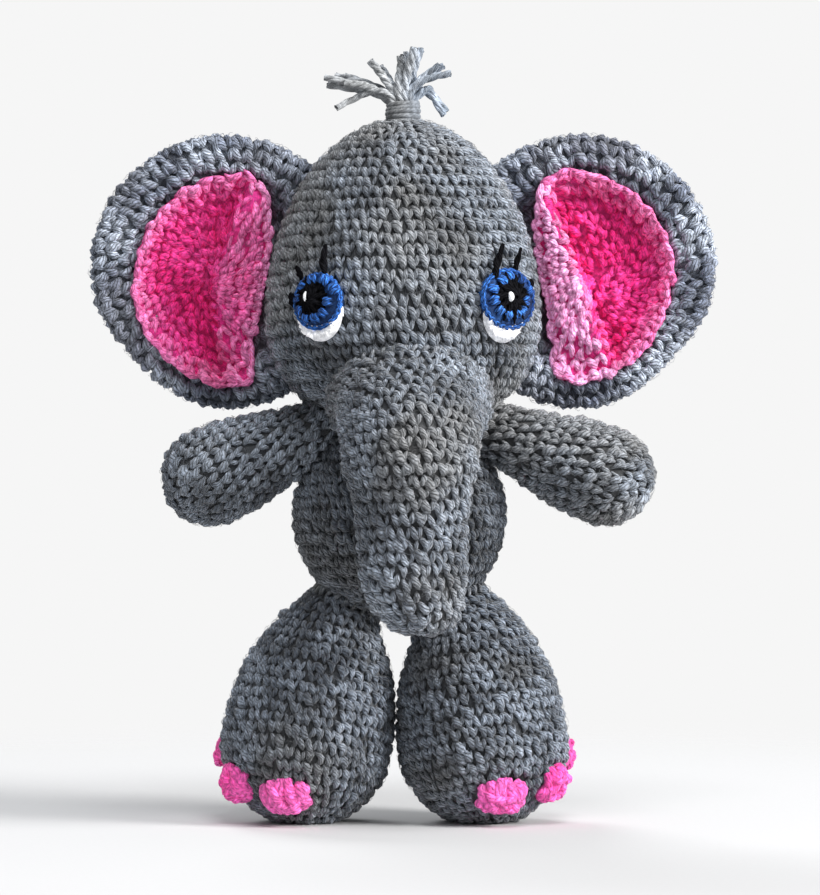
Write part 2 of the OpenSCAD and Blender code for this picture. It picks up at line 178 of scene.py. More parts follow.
def yarn(
    name, dark, light, warm, fuzz=0.25, patch=45.0, ply_groove_shade=0.25, pale=None, streak=0.8, shine=0.25, painted_glow=None,
    relief=0.9,
):
    """Plied wool: patches of two tones, a third tone in places, ply lines round each strand with painted shade in
    their grooves, fine fibres.
    """
    n = Nodes(name)
    where = n.node("ShaderNodeTexCoord").outputs["Object"]
    strand = n.node("ShaderNodeSeparateXYZ", {0: n.node("ShaderNodeUVMap", uv_map="strand").outputs[0]})
    shade = n.node("ShaderNodeAttribute", attribute_name="shade").outputs["Fac"]

    def spiral(lines, twist):
        """Grows round the strand and along it, by one from each line to the next."""
        around = n.math("MULTIPLY", strand.outputs[0], lines)
        return n.math("ADD", around, n.math("MULTIPLY", strand.outputs[1], twist))

    ply = n.math("SINE", n.math("MULTIPLY", spiral(PLIES, PLY_TWIST), 2 * math.pi))
    wobble = n.math("MULTIPLY", n.noise(where, 260.0), 2.2)
    groove = n.math("SINE", n.math("MULTIPLY", n.math("ADD", spiral(FIBRES, FIBRE_TWIST), wobble), math.pi))
    streaks = n.ramp(n.math("ABSOLUTE", groove), 0.0, 0.85)
    fibres = n.noise(where, 900.0, 3.0)
    specks = n.noise(where, 560.0, 3.0)
    patches = n.ramp(n.noise(where, patch, 3.0), 0.38, 0.62)
    elsewhere = n.node("ShaderNodeVectorMath", {0: where, 1: (0.3, 0.7, 0.1)}).outputs[0]
    warmth = n.ramp(n.noise(elsewhere, 22.0), 0.42, 0.66)
    colour = n.mix(patches, dark, light)
    colour = n.mix(n.math("MULTIPLY", warmth, 0.5), colour, warm)
    if pale is not None:
        colour = n.mix(n.node("ShaderNodeAttribute", attribute_name="pale").outputs["Fac"], colour, pale)
    speckle = n.ramp(specks, 0.3, 0.75)
    # Painted shade: the colour is darker along the grooves between the plies
    tone = n.math("ADD", n.math("MULTIPLY", ply, 0.5 * ply_groove_shade), 1.0 - 0.25 * ply_groove_shade)
    tone = n.math("MULTIPLY", tone, n.math("ADD", n.math("MULTIPLY", speckle, 0.8), 0.58))
    tone = n.math("MULTIPLY", tone, n.math("ADD", n.math("MULTIPLY", streaks, streak), 1.0 - 0.5 * streak))
    # Painted shade and light: the shade attribute holds each stitch's own random tone, and also darker strand ends,
    # the darker backing between stitches, the shaded body, and the white patch and lining brightened above their yarn
    tone = n.math("MULTIPLY", tone, shade)
    grey = n.node("ShaderNodeCombineXYZ", {0: tone, 1: tone, 2: tone}).outputs[0]
    n.put(n.shader.inputs["Base Color"], n.mix(1.0, colour, grey, "MULTIPLY"))
    height = n.math("ADD", streaks, n.math("MULTIPLY", fibres, 1.3))
    bump = n.node("ShaderNodeBump", {"Height": height, "Strength": relief, "Distance": 0.0005})
    n.put(n.shader.inputs["Normal"], bump.outputs[0])
    n.shader.inputs["Roughness"].default_value = 0.9
    n.shader.inputs["Specular IOR Level"].default_value = shine
    n.shader.inputs["Sheen Weight"].default_value = fuzz
    n.shader.inputs["Sheen Roughness"].default_value = 0.6
    if painted_glow is not None:
        # Painted light: the yarn glows evenly of its own, standing in for light through the thin yarn and brightening
        # it where it lies in shade
        n.shader.inputs["Emission Color"].default_value = painted_glow
        n.shader.inputs["Emission Strength"].default_value = 1.0
    return n.material


GREY = yarn(
    "grey_yarn", rgb(0.11, 0.127, 0.155), rgb(0.27, 0.31, 0.37), rgb(0.235, 0.225, 0.205), 0.35, streak=0.95,
)
DARK_GREY = yarn(
    "dark_grey_yarn", rgb(0.07, 0.085, 0.11), rgb(0.21, 0.245, 0.30), rgb(0.17, 0.165, 0.155), 0.3, patch=70.0,
    streak=0.95,
)
EAR_GREY = yarn(
    "ear_grey_yarn", rgb(0.155, 0.18, 0.245), rgb(0.43, 0.48, 0.57), rgb(0.23, 0.23, 0.27), streak=0.9,
)
PINK = yarn(
    "pink_lining_yarn", rgb(0.74, 0.02, 0.19), rgb(0.94, 0.075, 0.37), rgb(0.88, 0.045, 0.34), 0.0,
    pale=rgb(1.0, 0.46, 0.78), streak=0.4, painted_glow=rgb(0.045, 0.003, 0.016), relief=0.6,
)
HOT_PINK = yarn(
    "pink_nail_yarn", rgb(0.92, 0.06, 0.36), rgb(0.96, 0.14, 0.52), rgb(0.96, 0.22, 0.60), 0.1, streak=0.4,
    painted_glow=rgb(0.06, 0.008, 0.03), relief=0.6,
)
BLUE = yarn(
    "blue_yarn", rgb(0.01, 0.045, 0.24), rgb(0.035, 0.17, 0.60), rgb(0.08, 0.28, 0.74), 0.05, ply_groove_shade=0.8,
    streak=1.2,
)
BLACK = yarn(
    "black_yarn", rgb(0.003, 0.003, 0.004), rgb(0.008, 0.008, 0.010), rgb(0.006, 0.005, 0.006), 0.0, shine=0.04,
)
WHITE = yarn(
    "white_yarn", rgb(0.90, 0.91, 0.95), rgb(1.0, 1.0, 1.0), rgb(1.0, 1.0, 1.0), 0.1, ply_groove_shade=0.1, streak=0.15,
    painted_glow=rgb(0.20, 0.205, 0.22), relief=0.4,
)
HAIR = yarn(
    "hair_yarn", rgb(0.30, 0.355, 0.43), rgb(0.45, 0.51, 0.60), rgb(0.46, 0.43, 0.37), 0.3, patch=120.0,
    ply_groove_shade=0.1, streak=0.25, relief=0.35,
)
SEWING = yarn("sewing_yarn", rgb(0.14, 0.155, 0.17), rgb(0.27, 0.29, 0.33), rgb(0.24, 0.235, 0.21))


def floor_material():
    """Pale paper, solid round the toy and fading into the studio's light further off."""
    n = Nodes("pale_floor")
    where = n.node("ShaderNodeTexCoord").outputs["Object"]
    away = n.node("ShaderNodeVectorMath", {0: where}, operation="LENGTH").outputs["Value"]
    grain = n.ramp(n.noise(where, 500.0, 4.0), 0.2, 0.8)
    n.put(n.shader.inputs["Base Color"], n.mix(grain, rgb(0.62, 0.62, 0.62), rgb(0.635, 0.635, 0.635)))
    n.put(n.shader.inputs["Alpha"], n.ramp(away, 0.62, 0.24))
    n.shader.inputs["Roughness"].default_value = 0.95
    n.shader.inputs["Specular IOR Level"].default_value = 0.1
    return n.material


FLOOR_HALF = 1.2
floor_mesh = bpy.data.meshes.new("floor")
floor_corners = [(x * FLOOR_HALF, y * FLOOR_HALF, 0) for x, y in ((-1, -1), (1, -1), (1, 1), (-1, 1))]
floor_mesh.from_pydata(floor_corners, [], [(0, 1, 2, 3)])
floor = bpy.data.objects.new("floor", floor_mesh)
floor_mesh.materials.append(floor_material())
scene.collection.objects.link(floor)


# ---------------------------------------------------------------- meshes of strands
def unit(v):
    """Vectors of length one."""
    return v / np.maximum(np.linalg.norm(v, axis=-1, keepdims=True), 1e-12)


def smooth(low, high, x):
    """Goes smoothly from 0 at low to 1 at high."""
    t = np.clip((np.asarray(x, float) - low) / (high - low), 0, 1)
    return t * t * (3 - 2 * t)


def corners(u0, v0, u1, v1):
    """The four corners of each cell, as (cells, 4, 2)."""
    pairs = ((u0, v0), (u1, v0), (u1, v1), (u0, v1))
    return np.stack([np.stack(pair, -1) for pair in pairs], -2).reshape(-1, 4, 2)


# The part of the baked square that goes to patches, and the margin round each strand's cell in it
PATCH_SHARE = 0.12
CELL_MARGIN = 0.12


class Piece:
    """Collects patches and strands, all in millimetres, and makes one mesh of them."""

    def __init__(self):
        self.points, self.quads, self.round, self.shade, self.cells, self.pale = [], [], [], [], [], []
        self.count = 0

    def add(self, points, quads, uv, shade, cells, pale=0.0):
        """points (P, 3), quads (F, 4), uv (F, 4, 2) on the strand, shade and paleness (P), and bake cells."""
        self.points.append(points)
        self.pale.append(np.broadcast_to(pale, (len(points),)))
        self.quads.append(quads + self.count)
        self.round.append(uv)
        self.shade.append(shade)
        self.cells.append(cells)
        self.count += len(points)

    def strands(self, paths, radii, normals, sides=6, shade=1.0, end_shade=0.5, pale=0.0):
        """Tubes along paths (M, K, 3) with radii (M, K). normals (M, K, 3) point away from the skin."""
        m, k, _ = paths.shape
        tangent = unit(np.gradient(paths, axis=1))
        out = unit(normals - (normals * tangent).sum(-1, keepdims=True) * tangent)
        across = np.cross(tangent, out)
        angle = np.arange(sides) / sides * 2 * math.pi
        ring = (
            np.cos(angle)[None, None, :, None] * out[:, :, None, :]
            + np.sin(angle)[None, None, :, None] * across[:, :, None, :]
        )
        points = paths[:, :, None, :] + ring * radii[:, :, None, None]
        index = np.arange(m * k * sides).reshape(m, k, sides)
        after = np.roll(index, -1, axis=2)
        quads = np.stack([index[:, :-1], after[:, :-1], after[:, 1:], index[:, 1:]], -1).reshape(-1, 4)
        length = np.concatenate(
            [np.zeros((m, 1)), np.cumsum(np.linalg.norm(np.diff(paths, axis=1), axis=2), axis=1)], axis=1
        )
        along = length / 10 + rng.random((m, 1))
        u0 = np.broadcast_to(np.arange(sides) / sides, (m, k - 1, sides))
        v0 = np.broadcast_to(along[:, :-1, None], (m, k - 1, sides))
        v1 = np.broadcast_to(along[:, 1:, None], (m, k - 1, sides))
        uv = corners(u0, v0, u0 + 1 / sides, v1)
        place = np.arange(k) / (k - 1)
        # Painted shade: each strand is darker towards its ends, where it dips into the fabric
        painted_end_shade = end_shade + (1 - end_shade) * np.sin(place * math.pi) ** 0.7
        tone = np.broadcast_to(shade, (m,))[:, None] * painted_end_shade[None, :]
        tone = np.repeat(tone.reshape(-1), sides)
        cell_v = np.broadcast_to((np.arange(k - 1) / (k - 1))[None, :, None], (m, k - 1, sides))
        cell = np.broadcast_to(np.arange(m)[:, None, None], (m, k - 1, sides))
        corner = corners(u0, cell_v, u0 + 1 / sides, cell_v + 1 / (k - 1))
        cells = (m, np.repeat(cell.reshape(-1), 4).reshape(-1, 4), corner)
        pales = np.repeat(np.broadcast_to(pale, (m,)), k * sides)
        self.add(points.reshape(-1, 3), quads, uv, tone, cells, pales)

    def sheet(self, grid, shade):
        """A patch through a grid of points (V, U, 3), closed round U."""
        v, u, _ = grid.shape
        index = np.arange(v * u).reshape(v, u)
        after = np.roll(index, -1, axis=1)
        quads = np.stack([index[:-1], after[:-1], after[1:], index[1:]], -1).reshape(-1, 4)
        du, dv = 1 / u, 1 / (v - 1)
        u0, v0 = np.meshgrid(np.arange(u) * du, np.arange(v - 1) * dv)
        corner = corners(u0, v0, u0 + du, v0 + dv)
        cells = (1, np.zeros((len(quads), 4), int), corner)
        self.add(grid.reshape(-1, 3), quads, corner * (60.0, 8.0), np.full(v * u, float(shade)), cells)

    def make(self, name, material):
        """One smooth mesh in metres, with its strand coordinates, shade and paleness for the material."""
        points = (np.concatenate(self.points) + (0, MIDDLE_Y, 0)) * MM
        quads = np.concatenate(self.quads)
        mesh = bpy.data.meshes.new(name)
        mesh.vertices.add(len(points))
        mesh.vertices.foreach_set("co", points.astype(np.float32).reshape(-1))
        mesh.loops.add(quads.size)
        mesh.loops.foreach_set("vertex_index", quads.astype(np.int32).reshape(-1))
        mesh.polygons.add(len(quads))
        mesh.polygons.foreach_set("loop_start", np.arange(0, quads.size, 4, dtype=np.int32))
        mesh.update(calc_edges=True)
        mesh.polygons.foreach_set("use_smooth", np.ones(len(quads), bool))
        tone = mesh.attributes.new("shade", "FLOAT", "POINT")
        tone.data.foreach_set("value", np.concatenate(self.shade).astype(np.float32))
        pale = mesh.attributes.new("pale", "FLOAT", "POINT")
        pale.data.foreach_set("value", np.concatenate(self.pale).astype(np.float32))
        strand_uv = mesh.uv_layers.new(name="strand")
        strand_uv.data.foreach_set("uv", np.concatenate(self.round).astype(np.float32).reshape(-1))
        bake_uv = mesh.uv_layers.new(name="OFBake")
        bake_uv.data.foreach_set("uv", self.bake_layout().astype(np.float32).reshape(-1))
        mesh.validate()
        made = bpy.data.objects.new(name, mesh)
        mesh.materials.append(material)
        scene.collection.objects.link(made)
        return made

    def bake_layout(self):
        """Patches share the lowest part of the square, and strands have one cell each above it."""
        patches = sum(1 for c in self.cells if c[0] == 1)
        total = sum(c[0] for c in self.cells if c[0] > 1)
        side = math.ceil(math.sqrt(max(total, 1)))
        base = PATCH_SHARE if patches else 0.0
        laid, patch, first = [], 0, 0
        for many, cell, corner in self.cells:
            inner = CELL_MARGIN + corner * (1 - 2 * CELL_MARGIN)
            if many == 1:
                x = (patch + inner[..., 0]) / patches
                y = inner[..., 1] * base
                patch += 1
            else:
                spot = cell + first
                x = (spot % side + inner[..., 0]) / side
                y = base + (spot // side + inner[..., 1]) / side * (1 - base)
                first += many
            laid.append(np.stack([x, y], -1))
        return np.concatenate(laid)


class Skin:
    """Rounds of points (V, U, 3) in mm. Seen from outside, u runs anticlockwise and rows run up."""

    def __init__(self, grid, longest=False):
        self.grid = np.asarray(grid, float)
        ring = np.roll(self.grid, -1, 1) - self.grid
        self.around = np.linalg.norm(ring, axis=2).sum(1)
        steps = np.linalg.norm(np.diff(self.grid, axis=0), axis=2)
        rise = steps.max(1) if longest else steps.mean(1)
        self.along = np.concatenate([[0], np.cumsum(rise)])
        self.length = self.along[-1]
        right = np.roll(self.grid, -1, 1) - np.roll(self.grid, 1, 1)
        up = np.gradient(self.grid, axis=0)
        self.right = unit(right)
        self.out = unit(np.cross(right, up))

    def at(self, u, s):
        """Point, rightward and outward directions at turns u and distance s up the skin."""
        rows, columns, _ = self.grid.shape
        fv = np.interp(s, self.along, np.arange(rows))
        fu = np.mod(u, 1.0) * columns
        v0 = np.minimum(fv.astype(int), rows - 2)
        u0 = np.minimum(fu.astype(int), columns - 1)
        u1 = (u0 + 1) % columns
        tv, tu = (fv - v0)[..., None], (fu - u0)[..., None]

        def pick(field):
            low = field[v0, u0] * (1 - tu) + field[v0, u1] * tu
            high = field[v0 + 1, u0] * (1 - tu) + field[v0 + 1, u1] * tu
            return low * (1 - tv) + high * tv

        return pick(self.grid), unit(pick(self.right)), unit(pick(self.out))

    def round_length(self, s):
        """How far it is round the skin at distance s up it."""
        return np.interp(s, self.along, self.around)


# A stitch's two legs: where each starts and ends, as shares of the stitch's width and height, its thickness as
# a share of the width, and how far it stands out
SINGLE = ((-0.38, 0.62, 0.20, -0.58, 0.34, 0.27), (0.46, 0.56, 0.16, -0.40, 0.28, 0.20))
PUFFY = ((-0.46, 0.62, 0.20, -0.56, 0.33, 0.30), (0.48, 0.58, 0.04, -0.50, 0.31, 0.24))
RIM = ((-0.46, 0.62, 0.20, -0.56, 0.33, 0.19), (0.48, 0.58, 0.04, -0.50, 0.31, 0.14))
CHAIN = ((-0.62, 0.30, 0.62, 0.04, 0.26, 0.34), (-0.62, -0.30, 0.62, -0.04, 0.26, 0.34))
FLAT = ((-0.46, 0.60, 0.10, -0.56, 0.36, 0.10), (0.46, 0.60, -0.02, -0.56, 0.36, 0.08))
RADIAL = ((-0.20, -0.52, -0.13, 0.56, 0.23, 0.34), (0.20, -0.52, 0.13, 0.56, 0.23, 0.34))
FIBRE_R = 0.075


def crochet(
    piece, skin, start, stop, width, height, legs=SINGLE, loose=0.11, shade=1.0, keep=None, pale=0.0, sides=5,
    rings=5,
):
    """Rounds of stitches from one distance up the skin to another, in a spiral.

    Width and height are one stitch's size in mm, loose is how uneven the stitches are, and keep picks the ones
    that are made by their places. Pale is a number, or a function of the places that gives one for each.
    """
    rows = max(1, round((stop - start) / height))
    tall = (stop - start) / rows
    turns, heights, widths = [], [], []
    drift = rng.uniform(0, 2 * math.pi, (rows, 2))
    for row in range(rows):
        middle = start + (row + 0.5) * tall
        many = max(5, round(float(skin.round_length(middle)) / width))
        u = (np.arange(many) + 0.37 * row) / many
        turns.append(u)
        sway = np.sin(u * 8 * math.pi + drift[row, 0]) + np.sin(u * 18 * math.pi + drift[row, 1])
        heights.append(start + (row + np.mod(u, 1.0) + loose * 0.6 * sway) * tall)
        widths.append(np.full(many, float(skin.round_length(middle)) / many))
    u, s, wide = map(np.concatenate, (turns, heights, widths))
    if keep is not None:
        chosen = keep(skin.at(u, np.clip(s, 0, skin.length))[0])
        u, s, wide = u[chosen], s[chosen], wide[chosen]
    u = u + rng.normal(0, loose * 0.8, len(u)) * wide / np.maximum(skin.round_length(s), 1)
    s = s + rng.normal(0, loose * 0.8, len(s)) * tall
    spot = skin.at(u, np.clip(s, 0, skin.length))[0]
    tone = rng.normal(1, 0.10, len(u)) * shade
    paleness = pale(spot) if callable(pale) else pale
    place = np.linspace(0, 1, rings)
    swell = np.sin(place * math.pi)
    for x0, y0, x1, y1, thick, lift in legs:
        size = wide * rng.normal(1, loose, len(u))
        bend = rng.normal(0, loose, (len(u), 1))
        across = size[:, None] * (x0 + (x1 - x0) * place + (0.06 + bend) * swell)
        climb = tall * (y0 + (y1 - y0) * place + bend * 0.5 * swell)
        at_u = u[:, None] + across / np.maximum(skin.round_length(s), 1)[:, None]
        at_s = np.clip(s[:, None] + climb, 0.01, skin.length - 0.01)
        point, _, out = skin.at(at_u, at_s)
        rise = size[:, None] * (lift * swell ** 0.8 - 0.12)
        radius = size[:, None] * thick * (0.34 + 0.66 * swell ** 0.8)
        radius = radius * rng.normal(1, loose, (len(u), 1))
        piece.strands(point + out * rise[..., None], radius, out, sides=sides, shade=tone, pale=paleness)


def fuzz(piece, skin, start, stop, spacing=11.0, keep=None):
    """Loose fibres standing off the yarn, one to every `spacing` square mm."""
    levels = np.linspace(start, stop, 60)
    rounds = skin.round_length(levels)
    many = int(rounds.mean() * (stop - start) / spacing)
    s = rng.choice(levels, many, p=rounds / rounds.sum()) + rng.uniform(-1, 1, many)
    u = rng.random(many)
    if keep is not None:
        chosen = keep(skin.at(u, np.clip(s, 0, skin.length))[0])
        u, s = u[chosen], s[chosen]
    many = len(u)
    place = np.linspace(0, 1, 4)
    heading = rng.uniform(0, 2 * math.pi, many)[:, None] + rng.normal(0, 0.7, (many, 1)) * place
    reach = rng.uniform(1.5, 4.5, (many, 1)) * place
    at_u = u[:, None] + reach * np.cos(heading) / np.maximum(skin.round_length(s), 8)[:, None]
    at_s = np.clip(s[:, None] + reach * np.sin(heading), 0.01, skin.length - 0.01)
    point, _, out = skin.at(at_u, at_s)
    height = rng.uniform(0.2, 1.5, (many, 1))
    rise = 1.1 + height * np.sin(place * math.pi * rng.uniform(0.4, 1.0, (many, 1)))
    radii = np.full(at_u.shape, FIBRE_R)
    piece.strands(point + out * rise[..., None], radii, out, sides=3, end_shade=1.0, shade=1.15)


def backing(piece, skin, depth, shade=0.2, cap_low=False, cap_high=False):
    """A sheet under the stitches, seen between them; its shade is painted shade for the gaps between the stitches."""
    grid = skin.grid - skin.out * depth
    ends = []
    if cap_low:
        ends.append(np.broadcast_to(grid[:1].mean(1, keepdims=True), grid[:1].shape))
    ends.append(grid)
    if cap_high:
        ends.append(np.broadcast_to(grid[-1:].mean(1, keepdims=True), grid[-1:].shape))
    piece.sheet(np.concatenate(ends), shade)


def turned(profile, columns=96, centre=(0, 0)):
    """Rows of points round the Z axis from (radius, height) pairs, lowest first."""
    angle = np.arange(columns) / columns * 2 * math.pi
    r, z = np.asarray(profile, float).T
    grid = np.zeros((len(r), columns, 3))
    grid[..., 0] = centre[0] + r[:, None] * np.cos(angle)
    grid[..., 1] = centre[1] + r[:, None] * np.sin(angle)
    grid[..., 2] = z[:, None]
    return grid


def egg(r, up, down, z, rows=70):
    """(radius, height) pairs of an egg whose widest round is at z, with its own reach up and down."""
    a = np.radians(np.linspace(-86, 87, rows))
    return np.stack([r * np.cos(a), z + np.where(a > 0, up, down) * np.sin(a)], 1)


def placed(grid, centre, axis):
    """A grid turned round Z, moved so that its origin is at centre and its Z is along axis."""
    z = unit(np.asarray(axis, float))
    x = unit(np.cross((0.0, -1.0, 0.0), z))
    y = np.cross(z, x)
    return np.asarray(centre, float) + grid[..., :1] * x + grid[..., 1:2] * y + grid[..., 2:] * z


def finish_piece(piece, name, material, nodes, body=None, bend=None):
    """Makes a piece's mesh, hides its CAD nodes, and moves it with a body; a piece given a bend only has its
    placement baked into its points.
    """
    made = piece.make(name, material)
    # A yarn has its slot's name, after which Blender puts a number because the CAD's material has it too
    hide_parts(*nodes)
    if bend is None:
        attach(made, body)
    else:
        first, second, start, end = bend
        start, end = ([x * MM, (y + MIDDLE_Y) * MM, z * MM] for x, y, z in (start, end))
        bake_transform(made)


# ---------------------------------------------------------------- body and head
# The widest round's middle, and the outsides of the stitches there, above it and below it
BODY_AT, BODY_Z = (-1.5, 0), 124.5
BODY_R, BODY_UP, BODY_DOWN = 43.5, 40.0, 44.0
HEAD_AT_Z, HEAD_R, HEAD_UP, HEAD_DOWN = 201.5, 56.4, 82.0, 46.0


def in_body(point):
    """Whether points are inside the body."""
    height = np.where(point[..., 2] > BODY_Z, BODY_UP, BODY_DOWN)
    flat = ((point[..., 0] - BODY_AT[0]) ** 2 + (point[..., 1] - BODY_AT[1]) ** 2) / BODY_R**2
    return flat + ((point[..., 2] - BODY_Z) / height) ** 2 < 1


def head_ring(z):
    """The head's radius at a height."""
    height = np.where(z > HEAD_AT_Z, HEAD_UP, HEAD_DOWN)
    return HEAD_R * np.sqrt(np.maximum(1 - ((z - HEAD_AT_Z) / height) ** 2, 1e-6))


def in_head(point):
    """Whether points are inside the head."""
    return (point[..., 0] ** 2 + point[..., 1] ** 2) < head_ring(point[..., 2]) ** 2


body = Piece()
body_skin = Skin(turned(egg(41.7, 39.0, 42.6, BODY_Z), centre=BODY_AT))
backing(body, body_skin, 0.7, cap_low=True, cap_high=True)
# Painted shade: the body's stitches are darkened to 0.68, and it wears the darker grey, for the shadow of the head
# and trunk on it
crochet(body, body_skin, 1, body_skin.length - 6, 4.3, 4.9, shade=0.68)
fuzz(body, body_skin, 2, body_skin.length - 8)
finish_piece(body, "body_crochet", DARK_GREY, ["body_skin", "body_stuffing"], body="torso")

head = Piece()
head_skin = Skin(turned(egg(54.3, 80.9, 44.5, HEAD_AT_Z, rows=90)))
backing(head, head_skin, 0.7, cap_low=True, cap_high=True)
crochet(head, head_skin, 2, head_skin.length - 0.5, 4.3, 5.0)
fuzz(head, head_skin, 4, head_skin.length - 1)
finish_piece(head, "head_crochet", GREY, ["head_skin", "head_stuffing"], body="head")

# ---------------------------------------------------------------- trunk
# The trunk leaves the face forwards, bends down round a point under the chin and hangs
TRUNK_X, TRUNK_Y = 2.8, -67.0
BEND_Z, BEND_R = 143.0, 27.0
SPLIT_Z = 137.0
TIP_Z = 77.0
TUBE_R = 24.8
ROOT_WIDE, ROOT_TALL = 27.0, 19.5
FLARE = 5.0
# How far the hanging part leans to the left on its way down, and its rounded end once more
LEAN, END_LEAN = 2.0, 2.4


def trunk_rows():
    """Centre, radii across and in the bend's plane, and direction up the trunk, from the tip to the root."""
    heights = [79.0, 79.4, 80.7, 83.2, 88, 94, 100, 108, 116, 122, 128, 134, SPLIT_Z, 140, BEND_Z]
    radii = [2.0, 5.0, 8.8, 12.6, 16.0, 18.1, 19.2, 19.7, 20.0, 20.3, 21.0, 22.3, 23.1, 23.9, TUBE_R]
    rows = []
    for z, r in zip(heights, radii):
        x = TRUNK_X + LEAN * (BEND_Z - z) / (BEND_Z - TIP_Z) + END_LEAN * float(smooth(98, 79, z))
        rows.append(((x, TRUNK_Y, z), (r, r), (0, 0, 1)))
    for turn in range(8, 105, 8):
        a = math.radians(turn)
        centre = (TRUNK_X, TRUNK_Y + BEND_R * (1 - math.cos(a)), BEND_Z + BEND_R * math.sin(a))
        flare = FLARE * float(smooth(50, 104, turn))
        wide = TUBE_R + (ROOT_WIDE - TUBE_R) * float(smooth(0, 45, turn)) + flare
        tall = TUBE_R + (ROOT_TALL - TUBE_R) * float(smooth(10, 65, turn)) + flare
        rows.append((centre, (wide, tall), (0, math.sin(a), math.cos(a))))
    return rows


def tube(rows, columns=72):
    """A grid of oval rounds, one for each row."""
    angle = np.arange(columns) / columns * 2 * math.pi
    grid = np.zeros((len(rows), columns, 3))
    for i, (centre, (wide, tall), up) in enumerate(rows):
        x = np.array((1.0, 0, 0))
        y = np.cross(np.array(up, float), x)
        grid[i] = np.array(centre) + wide * np.cos(angle)[:, None] * x + tall * np.sin(angle)[:, None] * y
    return grid


def denser(grid, times=4):
    """The same rows with smooth ones between them."""
    rows = len(grid)
    t = np.linspace(0, rows - 1, (rows - 1) * times + 1)
    i = np.clip(t.astype(int), 0, rows - 2)
    f = (t - i)[:, None, None]
    p0, p1 = grid[np.maximum(i - 1, 0)], grid[i]
    p2, p3 = grid[i + 1], grid[np.minimum(i + 2, rows - 1)]
    square, cube = 2 * p0 - 5 * p1 + 4 * p2 - p3, 3 * p1 - p0 - 3 * p2 + p3
    return 0.5 * (2 * p1 + (p2 - p0) * f + square * f**2 + cube * f**3)


trunk_all = trunk_rows()
split_row = [row[0][2] for row in trunk_all].index(SPLIT_Z)
trunk_skin = Skin(denser(tube(trunk_all)), longest=True)
# Each piece's own rounds, which stitches it keeps, the body before it, and where its bend starts and ends
TRUNK = {
    "tip": (trunk_all[: split_row + 1], lambda p: p[..., 2] < SPLIT_Z, "trunk_upper", (TRUNK_Y, 135, 113)),
    "upper": (trunk_all[split_row:], lambda p: p[..., 2] >= SPLIT_Z, "head", (-48, 184, 152)),
}
# Both pieces draw the same random rows, so that no stitch is missing or doubled where they meet
rows_state = rng.bit_generator.state
for name, (rounds, keep, before, (start_y, start_z, end_z)) in TRUNK.items():
    piece = Piece()
    backing(piece, Skin(denser(tube(rounds))), 0.7, cap_low=name == "tip")
    rng.bit_generator.state = rows_state
    crochet(piece, trunk_skin, 1, trunk_skin.length - 1, 4.5, 5.0, keep=keep, loose=0.13)
    fuzz(piece, trunk_skin, 2, trunk_skin.length - 2, keep=keep)
    bend = (before, "trunk_" + name, (TRUNK_X, start_y, start_z), (TRUNK_X, TRUNK_Y, end_z))
    nodes = [f"trunk_{name}_skin", f"trunk_{name}_stuffing"]
    finish_piece(piece, f"trunk_{name}_crochet", GREY, nodes, bend=bend)

# ---------------------------------------------------------------- arms
# The skins that the seams are sewn on
skins = {}
SHOULDER = (35.0, -8.7, 157.7)
HAND = (78.8, -18.0, 139.3)
HAND_R = 18.4
# Both hands are this much further to the elephant's left
HANDS_X = 2.0


def rounded_profile(r, rows):
    """The round end of radius r at height 0, then the given (height, radius) rows."""
    a = np.radians(np.linspace(-86, 0, 16))
    return [(r * math.cos(t), r * math.sin(t)) for t in a] + [(radius, height) for height, radius in rows]


for name, side in SIDES:
    hand = np.array((HAND[0] + side * HANDS_X, HAND[1], HAND[2]))
    root = np.array(SHOULDER)
    rows = [(4, 18.4), (10, 17.9), (18, 16.6), (26, 14.8), (34, 13.0), (42, 11.6), (50, 10.6), (57, 9.8), (62, 9.0)]
    grid = denser(turned(rounded_profile(HAND_R, rows), columns=64))
    hand[0] *= side
    root[0] *= side
    skin = Skin(placed(grid, hand, root - hand))
    skins["arm_" + name] = skin
    arm = Piece()
    backing(arm, skin, 0.8, cap_low=True, cap_high=True)
    crochet(arm, skin, 0.8, skin.length, 4.5, 4.7, loose=0.12)
    fuzz(arm, skin, 2, skin.length - 2)
    bend = ("torso", "arm_" + name, (side * 29, -8, 160), (side * 45, -10, 154))
    nodes = [f"arm_{name}_skin", f"arm_{name}_stuffing"]
    finish_piece(arm, f"arm_{name}_crochet", GREY, nodes, bend=bend)

# ---------------------------------------------------------------- legs and toenails
LEGS_X = -3.5
HIP = {LEFT: (20.18, 0.0, 71.26), RIGHT: (29.28, 0.0, 75.75)}
FOOT = (35.5, -7.0, 32.0)
FOOT_R = 33.0
SOLE_Z = 0.6
# How far each thigh's top lies nearer to the middle than its foot
LEG_LEAN = {LEFT: 6.5, RIGHT: 11.0}
THIGH_UP, THIGH_IN = 56, 4.5
FLOOR_CLEAR = 0.02


def foot_middle(side):
    """The middle of a foot's round part."""
    return np.array((side * (FOOT[0] + side * LEGS_X), FOOT[1], FOOT[2]))


